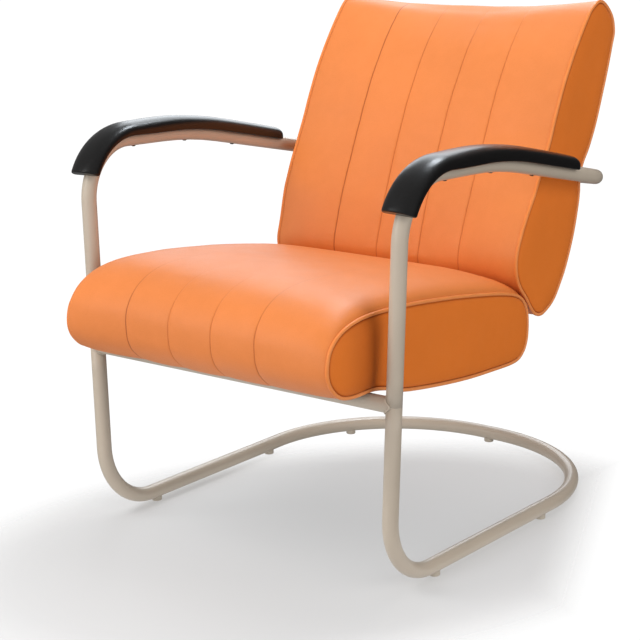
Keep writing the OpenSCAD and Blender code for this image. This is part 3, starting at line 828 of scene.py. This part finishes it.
# ---- back
B_FRONT, B_TOP = 0.0, back_o.mark(20)
back_dip_t = [(0, 0), (2, 6), (3, 12), (4, 22), (5, 31), (6, 37), (7, 36), (8, 27), (9, 13), (10, 3), (11, 3.6), (12, 7.7), (13, 9), (14, 14.5), (15, 21.5), (15.5, 21.5), (16, 19), (17, 11), (18, 4),
              (19, -4), (20, -7), (24, -7), (27, -3), (30, -5), (32, -2)]
back_exp_t = [(0, 1.4), (8, 1.4), (10, 2.6), (14.5, 2.4), (15.5, 1.15), (16.5, 0.68), (17.5, 0.65), (20, 0.9), (32, 1.0)]


def back_crown(s, x):
    d = float(back_o.smooth_values(back_dip_t, s, 13.0))
    e = float(back_o.smooth_values(back_exp_t, s, 20.0))
    t = np.minimum(1.0, np.abs(x) / BACK_W)
    e = np.where(x < 0, e * float(back_o.smooth_values([(0, 1), (14.3, 1), (15.5, 0.6), (18, 0.6), (20, 1), (32, 1)], s, 10.0)), e)
    far = float(back_o.smooth_values(BACK_FAR, s, 14.0)) * np.clip(-x / BACK_W, 0, 1) ** float(back_o.smooth_values([(0, 2.5), (14, 2.5), (15.5, 1.1), (19, 1.1), (21, 2.5), (32, 2.5)], s, 10.0))
    return far - d * (1 - t**2) ** e


def back_lines(s):
    return np.array([-134.0, -45.0, 43.5, 131.5])


def back_puff(s):
    return float(back_o.smooth_values([(0, 1.0), (4, 2.0), (8, 2.4), (13, 2.2), (14.5, 1.0), (15.5, 0.3), (18, 0.1), (32, 0.1)], s))


def back_groove(s):
    return float(back_o.smooth_values([(0, 0.6), (4, 1.2), (8, 1.3), (12.8, 1.2), (13.9, 0.6), (14.9, 0.1), (17, 0.0), (20, 0.0), (32, 0.0)], s))


def back_shade(i, s):
    full = [0.80, 0.36, 0.36, 0.34][i]
    k = float(back_o.smooth_values([(0, 1), (13.5, 1), (14.5, 0.5), (15.2, 0.05), (16, 0), (32, 0)], s, 8.0))
    if i > 1:
        k = float(back_o.smooth_values([(0, 1), (12.8, 1), (13.8, 0.45), (14.6, 0.05), (15.5, 0), (32, 0)], s, 8.0))
    if i == 0:
        k = float(back_o.smooth_values([(0, 1), (15, 1), (16.5, 0.6), (17.5, 0), (32, 0)], s, 8.0))
    return full * k


rows = spaced(B_FRONT + 1, B_TOP, 3.4)
P, seam_and_shade, wear_and_highlight, nr, nc = cushion_surface(back_o, rows, BACK_W - 0.6, back_lines, back_crown, back_puff, back_groove, back_shade, seed=21, far_edge_shade=0.92)
back_cover = make("back_leather_cover", P, grid_faces(nr, nc), M_TOP, attrs={"seam_and_shade": seam_and_shade, "wear_and_highlight": wear_and_highlight}, replaces=("back_cover", "back_foam"))
thick(back_cover)

rows = spaced(B_TOP, back_o.length + 1, 4.5)
P, seam_and_shade, wear_and_highlight, nr, nc = cushion_surface(back_o, rows, BACK_W - 0.6, lambda s: [], back_crown, lambda s: 0.0, lambda s: 0.0, seed=31)
rear = make("back_rear_leather", P, grid_faces(nr, nc), M_SIDE_SHADE, attrs={"seam_and_shade": seam_and_shade, "wear_and_highlight": wear_and_highlight}, replaces=("back_rear_panel",))
thick(rear)

# ---- seat underside
rows = spaced(S_REAR, seat_o.length + 2, 5.0)
P, seam_and_shade, wear_and_highlight, nr, nc = cushion_surface(seat_o, rows, SEAT_W - 1.2, lambda s: [], seat_crown, lambda s: 0.0, lambda s: 0.0, seed=41, far_w=SEAT_FAR - 1.2)
bottom = make("seat_dust_cloth", P, grid_faces(nr, nc), M_CLOTH, attrs={"seam_and_shade": seam_and_shade, "wear_and_highlight": wear_and_highlight}, replaces=("seat_bottom_cloth",))
thick(bottom, 0.0008)


# ---- side panels
def outline_pairs(o, i_front, i_rear, inset, n=150):
    """Upper and lower runs of the outline between its foremost and rearmost points, pulled in by inset."""
    a, b = o.mark(i_front), o.mark(i_rear)
    t = 0.5 - 0.5 * np.cos(np.linspace(0, math.pi, n))
    t = 0.006 + 0.988 * (0.5 * t + 0.5 * np.linspace(0, 1, n))
    up = a + (b - a) * t
    lo = a - (o.length - (b - a)) * t
    return (o.at(up) - inset * o.normal(up), o.at(lo) - inset * o.normal(lo))


def side_panel(o, i_front, i_rear, s, half_w, bulge, relief, tint, name, mat, node, rows=52, n=190):
    top, low = outline_pairs(o, i_front, i_rear, 1.2, n)
    edge = o.at(np.arange(0, o.length, 3.0))
    verts, seam_and_shade = [], []
    k = np.linspace(0, 1, rows)
    k = 0.5 - 0.5 * np.cos(math.pi * k) * (0.35) - 0.5 * (1 - 2 * k) * 0.65
    for j in range(n):
        p = low[j][None, :] + (top[j] - low[j])[None, :] * k[:, None]
        d = np.sqrt(((p[:, None, :] - edge[None, :, :]) ** 2).sum(-1)).min(1)
        d = np.maximum(d - 1.2, 0)
        q = np.clip(d / 42.0, 0, 1)
        h = bulge * np.sqrt(np.clip(1 - (1 - q) ** 2.2, 0, 1)) + relief(p[:, 0], p[:, 1], d)
        h = h - 2.2 * np.exp(-np.maximum(d - 2.2, 0) / 1.8)
        h = h + 0.35 * fbm(p[:, 0] / 55.0, p[:, 1] / 55.0, 50, 2) * np.clip(d / 20, 0, 1)
        verts.append(np.stack([s * (half_w + h), p[:, 0], p[:, 1]], -1))
        # Painted shade: the tint's bands plus a dark fringe along the piped edge.
        seam_and_shade.append(tint(p[:, 0], p[:, 1], d) + 0.14 * np.exp(-d / 8.0))
    verts, seam_and_shade = np.vstack(verts), np.clip(np.concatenate(seam_and_shade), 0, 1)
    faces = grid_faces(n, rows, flip=s > 0)
    ob = make(name, verts, faces, mat, attrs={"seam_and_shade": seam_and_shade, "wear_and_highlight": seam_and_shade * 0}, replaces=(node,))
    thick(ob)
    return ob


def seat_relief(y, z, d):
    """The pinch over the cross rail, and the fuller lobe in front of it."""
    low = np.clip((430 - z) / 90.0, 0, 1)
    pinch = -7.5 * np.exp(-(((y - 17) / 12.0) ** 2)) * low * np.clip(d / 10, 0, 1)
    lobe = 2.0 * np.exp(-(((y + 45) / 32.0) ** 2)) * np.clip(d / 30, 0, 1)
    return pinch + lobe


def piping_seam_shade(d, strength):
    """Painted shade along the seam between the piping and the panel."""
    return strength * np.exp(-((np.maximum(d - 3.0, 0) / 1.35) ** 2))


def seat_side_shade(y, z, d):
    """Painted shade: a dark band along the pinch, deepest low down, a broad dark patch over the lobe before it, and the
    seam shade beside the piping, heavier low down and at the rear.
    """
    low = np.clip((432 - z) / 100.0, 0, 1)
    under = np.clip((400 - z) / 60.0, 0, 1) * np.clip((y + 60) / 60.0, 0, 1)
    under = np.maximum(under, np.clip((y - 405) / 25.0, 0, 1))
    return 0.22 * np.exp(-(((y - 14) / 10.0) ** 2)) * low + 0.42 * np.exp(-(((y + 24) / 42.0) ** 2)) + piping_seam_shade(d, 0.6 + 0.38 * under)


def back_tint(y, z, d):
    # Darker towards the top, and painted shade along the seam beside the piping.
    return 0.10 * np.clip((z - 560) / 250.0, 0, 1) + piping_seam_shade(d, 0.7)


def back_relief(y, z, d):
    return -2.0 * np.exp(-(((z - 563) / 30.0) ** 2)) * np.clip(d / 10, 0, 1)


for s, side in ((1, "left"), (-1, "right")):
    o = side_panel(seat_o, 4, 15.5, s, (SEAT_W if s > 0 else SEAT_FAR) - 1.0, 8.0, seat_relief, seat_side_shade, f"seat_side_leather_{side}", M_SIDE_SHADE, f"seat_side_{side}")
    o = side_panel(back_o if s > 0 else back_right, 0, 17, s, BACK_W - 1.0, 7.0, back_relief, back_tint, f"back_side_leather_{side}", M_SIDE_SHADE, f"back_side_{side}")

# ---- piping
for o, hw, nm in ((seat_o, SEAT_W, "seat"), (back_o, BACK_W, "back")):
    for s, side in ((1, "left"), (-1, "right")):
        ss = np.arange(0, o.length, 3.2)
        ss = np.linspace(0, o.length, len(ss), endpoint=False)
        way = back_right if nm == "back" and s < 0 else o
        yz = way.at(ss) - (2.0 if nm == "seat" and s < 0 else 1.0) * way.normal(ss)
        at_x = SEAT_FAR if nm == "seat" and s < 0 else hw
        path = np.stack([np.full(len(ss), s * at_x), yz[:, 0], yz[:, 1]], -1)
        v, f = sweep(path, PIPE_R, 14, closed=True, up=(1, 0, 0))
        # Painted highlight: one side of each cord is mixed towards the pale leather colour.
        ang = np.tile(np.linspace(0, 2 * math.pi, 14, endpoint=False), len(ss))
        wear_and_highlight = np.clip(0.5 + 0.5 * np.cos(ang - math.pi / 4), 0, 1) ** 2 * 0.75
        make(f"{nm}_piping_cord_{side}", v, f, M_PIPE, attrs={"seam_and_shade": np.zeros(len(v)), "wear_and_highlight": wear_and_highlight}, replaces=(f"{nm}_piping_{side}",))

# ------------------------------------------------------------------ CAD pieces that stay
STAY = {
    "tube_splices": M_STEEL, "seat_tabs": M_TUBE, "tab_pads": M_RUBBER, "tab_bolts": M_ZINC, "tab_nuts": M_ZINC, "glides": M_GLIDE,
    "arm_inserts": M_BRASS, "seat_board": M_PLY, "back_board": M_PLY, "hoop_saddles": M_BLACK, "hoop_straps": M_TUBE,
    "hoop_bolts": M_ZINC, "hoop_nuts": M_ZINC, "link_straps": M_TUBE, "link_bolts": M_ZINC, "link_nuts": M_ZINC,
}
for node, mat in STAY.items():
    ob = NODES[node]
    ob.data.materials.clear()
    ob.data.materials.append(mat)
    for poly in ob.data.polygons:
        poly.material_index = 0

# ------------------------------------------------------------------ floor, light, camera
def stage_mat(name, col, rough):
    """A pale floor that fades into the white studio behind and to the right of the chair."""
    m = Mat(name)
    c = m.mix(m.ramp(m.noise(0.8, 2.0), [(0.3, 0.0), (0.7, 1.0)]), tuple(v * 0.99 for v in col), col)
    m.color(c)
    m.rough(m.math("MULTIPLY_ADD", m.noise(3.0, 2.0), 0.05, rough))
    m.set(Specular_IOR_Level=0.1, Emission_Color=(1.0, 1.0, 1.0, 1.0), Emission_Strength=0.345)
    sep = m.node("ShaderNodeSeparateXYZ")
    m.link(m.co, sep.inputs[0])
    x, y = sep.outputs[0], sep.outputs[1]
    along = m.math("ADD", m.math("MULTIPLY", x, 0.389 / 1.45), m.math("MULTIPLY_ADD", y, 0.914 / 1.45, 0.15 / 1.45))
    across = m.math("ADD", m.math("MULTIPLY", x, -0.914), m.math("MULTIPLY_ADD", y, 0.389, 0.125))
    r = m.math("SQRT", m.math("ADD", m.math("POWER", along, 2.0), m.math("POWER", across, 2.0)))
    clear = m.ramp(m.math("DIVIDE", r, 4.0), [(0.085, 0.0), (0.130, 1.0)], "EASE")
    aside = m.math("ADD", m.math("MULTIPLY", x, 0.95), m.math("MULTIPLY", y, 0.398))
    clear = m.math("MAXIMUM", clear, m.ramp(aside, [(0.34, 0.0), (0.47, 1.0)], "EASE"))
    see = m.node("ShaderNodeBsdfTransparent")
    mixer = m.node("ShaderNodeMixShader")
    m.link(clear, mixer.inputs[0])
    m.link(m.b.outputs[0], mixer.inputs[1])
    m.link(see.outputs[0], mixer.inputs[2])
    m.link(mixer.outputs[0], m.out.inputs[0])
    return m.m


me = bpy.data.meshes.new("floor")
R = 4.0
me.from_pydata([(-R, -R, 0), (R, -R, 0), (R, R, 0), (-R, R, 0)], [], [(0, 1, 2, 3)])
floor = bpy.data.objects.new("floor", me)
bpy.context.scene.collection.objects.link(floor)
me.materials.append(stage_mat("pale_floor", (0.385, 0.385, 0.385), 0.6))

world = bpy.data.worlds.new("studio")
bpy.context.scene.world = world
world.use_nodes = True
wt = world.node_tree
bg = wt.nodes["Background"]
bg.inputs[0].default_value = (1.0, 1.0, 1.0, 1.0)
bg.inputs[1].default_value = 0.60
seen = wt.nodes.new("ShaderNodeBackground")
seen.inputs[0].default_value = (1.0, 1.0, 1.0, 1.0)
seen.inputs[1].default_value = 1.05
path_n = wt.nodes.new("ShaderNodeLightPath")
pick = wt.nodes.new("ShaderNodeMixShader")
# the studio is darker behind the chair's left side
way_n = wt.nodes.new("ShaderNodeTexCoord")
side_n = wt.nodes.new("ShaderNodeVectorMath")
side_n.operation = "DOT_PRODUCT"
side_n.inputs[1].default_value = (0.584, 0.805, -0.10)
wt.links.new(way_n.outputs["Generated"], side_n.inputs[0])
dim = wt.nodes.new("ShaderNodeMapRange")
dim.inputs["From Min"].default_value = 0.30
dim.inputs["From Max"].default_value = 0.75
dim.inputs["To Min"].default_value = 0.60
dim.inputs["To Max"].default_value = 0.07
wt.links.new(side_n.outputs["Value"], dim.inputs["Value"])
# mirrored, it is dimmer than it lights
calm = wt.nodes.new("ShaderNodeMath")
calm.operation = "MULTIPLY_ADD"
wt.links.new(path_n.outputs["Is Glossy Ray"], calm.inputs[0])
calm.inputs[1].default_value = -0.55
calm.inputs[2].default_value = 1.0
both = wt.nodes.new("ShaderNodeMath")
both.operation = "MULTIPLY"
wt.links.new(dim.outputs["Result"], both.inputs[0])
wt.links.new(calm.outputs[0], both.inputs[1])
wt.links.new(both.outputs[0], bg.inputs[1])
wt.links.new(path_n.outputs["Is Camera Ray"], pick.inputs[0])
wt.links.new(bg.outputs[0], pick.inputs[1])
wt.links.new(seen.outputs[0], pick.inputs[2])
wt.links.new(pick.outputs[0], wt.nodes["World Output"].inputs[0])


def area(name, loc, target, size, power, color=(1, 1, 1), size_y=None):
    d = bpy.data.lights.new(name, "AREA")
    d.energy = power
    d.color = color
    d.shape = "RECTANGLE" if size_y else "SQUARE"
    d.size = size
    if size_y:
        d.size_y = size_y
    o = bpy.data.objects.new(name, d)
    bpy.context.scene.collection.objects.link(o)
    o.location = loc
    o.rotation_euler = (Vector(target) - Vector(loc)).to_track_quat("-Z", "Y").to_euler()
    return o


for lamp in (area("overhead", (-1.15, -2.05, 2.8), (0.0, 0.0, 0.3), 1.4, 41),
             area("top_soft", (-0.2, 0.35, 2.9), (0.0, 0.05, 0.3), 1.6, 22),
             area("front_left", (-1.9, -3.0, 1.7), (0, 0, 0.4), 1.6, 10),
             area("front_low", (-0.6, -3.2, 0.5), (0, -0.3, 0.35), 1.6, 22),
             area("rear_fill", (0.2, 3.2, 1.2), (0, 0, 0.5), 1.8, 13),
             area("right_fill", (3.0, -0.2, 1.1), (0.1, 0, 0.4), 2.2, 40)):
    lamp.visible_glossy = False
for lamp in (area("rear_top", (-0.40, 1.4, 2.95), (0.15, -0.1, 0.6), 0.7, 36, (0.86, 0.93, 1.0)),
             area("rear_wall", (-1.5, 2.1, 1.8), (0.0, 0.0, 0.5), 1.8, 31, (0.90, 0.95, 1.0)),
             area("front_strip", (-1.9, -3.0, 1.7), (0, 0, 0.5), 0.5, 10, size_y=1.6)):
    lamp.visible_diffuse = False

cam_d = bpy.data.cameras.new("camera")
cam = bpy.data.objects.new("camera", cam_d)
bpy.context.scene.collection.objects.link(cam)
cam_d.sensor_width = 36.0
cam_d.lens = 96.53
cam_d.shift_x = -0.01266
cam_d.shift_y = -0.0253
cam.location = tuple(frame_m((1669.5, -2001.2, 1026.5)))
cam.rotation_euler = (math.radians(90 - 13.13), 0.0, math.radians(36.70))
cam_d.clip_start, cam_d.clip_end = 0.05, 100.0
bpy.context.scene.camera = cam
bpy.context.scene.view_settings.view_transform = "Standard"
